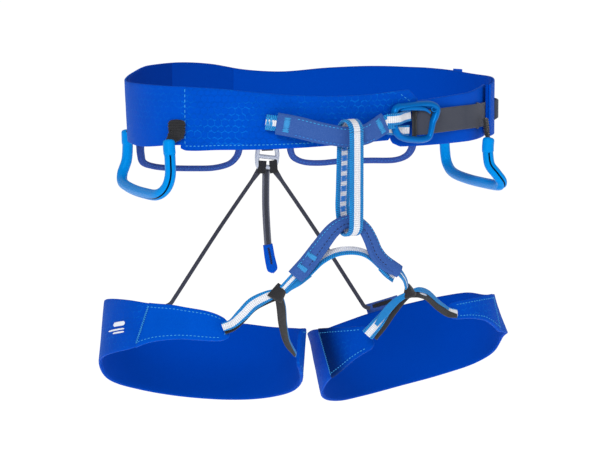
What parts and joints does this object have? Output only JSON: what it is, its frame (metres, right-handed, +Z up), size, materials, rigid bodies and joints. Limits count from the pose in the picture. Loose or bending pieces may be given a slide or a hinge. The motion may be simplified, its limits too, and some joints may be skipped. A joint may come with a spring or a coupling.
{
  "type": "climbing harness",
  "caption": "Lightweight climbing harness with waist belt, buckle, belay loop, two adjustable-riser leg loops and four gear loops, in its worn shape.",
  "frame": {"origin": "centre of the waist opening at the belt's mid height", "axes": "+Z up, the harness front faces -Y, +X towards the wearer's left"},
  "size_m": [0.3617, 0.235, 0.2938],
  "materials": {
    "belt_laminate": "satin",
    "lining": "matte",
    "load_webbing": "matte",
    "strap_webbing": "matte",
    "sleeve_fabric": "matte",
    "stitching": "satin",
    "black_webbing": "matte",
    "elastic": "matte",
    "blue_tab": "satin",
    "gear_loop_sheath": "satin",
    "buckle_blue": "anodised",
    "hook_metal": "polished",
    "loop_sleeve": "matte"
  },
  "bodies": {
    "left_leg_loop": {"left_leg_back_panel": "belt_laminate", "left_leg_lining": "lining", "left_leg_outer_flap": "belt_laminate", "left_leg_inner_flap": "belt_laminate", "left_leg_outer_webbing": "load_webbing", "left_leg_inner_webbing": "load_webbing", "left_leg_elastics": "elastic", "left_riser_tab": "blue_tab"},
    "left_gear_loop": {"left_gear_loop_sheath": "gear_loop_sheath", "left_gear_loop_collars": "gear_loop_sheath", "left_gear_loop_cord": "black_webbing"},
    "rear_left_gear_loop": {"rear_left_gear_loop_sleeve": "loop_sleeve", "rear_left_gear_loop_cord": "black_webbing"},
    "right_leg_loop": {"right_leg_back_panel": "belt_laminate", "right_leg_lining": "lining", "right_leg_outer_flap": "belt_laminate", "right_leg_inner_flap": "belt_laminate", "right_leg_outer_webbing": "load_webbing", "right_leg_inner_webbing": "load_webbing", "right_leg_elastics": "elastic", "right_riser_tab": "blue_tab"},
    "right_gear_loop": {"right_gear_loop_sheath": "gear_loop_sheath", "right_gear_loop_collars": "gear_loop_sheath", "right_gear_loop_cord": "black_webbing"},
    "rear_right_gear_loop": {"rear_right_gear_loop_sleeve": "loop_sleeve", "rear_right_gear_loop_cord": "black_webbing"},
    "belay_loop": {"belay_loop_webbing": "load_webbing", "belay_loop_bartacks": "stitching"},
    "waist_belt": {"belt_back_shell": "belt_laminate", "belt_front_outer_shell": "belt_laminate", "belt_front_inner_panel": "belt_laminate", "belt_back_lining": "lining", "belt_front_outer_lining": "lining", "belt_core_webbing": "load_webbing", "buckle_webbing": "load_webbing", "upper_tie_in_webbing": "load_webbing", "lower_tie_in_webbing": "load_webbing", "bridge_webbing": "load_webbing", "belt_label_tab": "blue_tab", "waist_strap": "strap_webbing", "waist_strap_fold": "strap_webbing", "strap_keeper": "strap_webbing", "buckle_frame": "buckle_blue", "buckle_slider_bar": "buckle_blue", "upper_tie_in_sleeve": "sleeve_fabric", "lower_tie_in_sleeve": "sleeve_fabric", "tie_in_bartacks": "stitching", "left_tie_in_tail": "load_webbing", "left_riser": "elastic", "left_keeper": "black_webbing", "left_gear_loop_tabs": "black_webbing", "right_tie_in_tail": "load_webbing", "right_riser": "elastic", "right_keeper": "black_webbing", "right_gear_loop_tabs": "black_webbing", "riser_hook": "hook_metal", "riser_anchor_tab": "black_webbing", "riser_adjust_strap": "black_webbing", "rear_gear_loop_tabs": "black_webbing", "riser_tail_tab": "blue_tab"}
  },
  "joints": [
    {"name": "belay_loop_turn", "type": "hinge", "parent": "waist_belt", "child": "belay_loop", "pos_m": [-0.003, -0.1145, -0.04485], "axis": [0, 0, 1], "range_deg": [-28, 1]},
    {"name": "left_gear_loop_swing", "type": "hinge", "parent": "waist_belt", "child": "left_gear_loop", "pos_m": [0.13987, -0.06094, -0.02], "axis": [-0.0305, -0.9994, 0.0169], "range_deg": [0, 70]},
    {"name": "right_gear_loop_swing", "type": "hinge", "parent": "waist_belt", "child": "right_gear_loop", "pos_m": [-0.13987, -0.06094, -0.015], "axis": [-0.0305, 0.9978, -0.059], "range_deg": [0, 70]},
    {"name": "rear_left_gear_loop_swing", "type": "hinge", "parent": "waist_belt", "child": "rear_left_gear_loop", "pos_m": [0.01642, 0.10283, -0.03], "axis": [0.9547, -0.2964, 0.0278], "range_deg": [0, 60]},
    {"name": "rear_right_gear_loop_swing", "type": "hinge", "parent": "waist_belt", "child": "rear_right_gear_loop", "pos_m": [-0.03073, 0.10139, -0.03], "axis": [0.9355, 0.3521, -0.0281], "range_deg": [0, 60]},
    {"name": "left_leg_loop_swing", "type": "hinge", "parent": "waist_belt", "child": "left_leg_loop", "pos_m": [0.0565, -0.092, -0.1415], "axis": [1, 0, 0], "range_deg": [-6, 14], "deforming": ["left_riser"]},
    {"name": "right_leg_loop_swing", "type": "hinge", "parent": "waist_belt", "child": "right_leg_loop", "pos_m": [-0.057, -0.092, -0.1375], "axis": [1, 0, 0], "range_deg": [-6, 14], "deforming": ["right_riser"]}
  ]
}
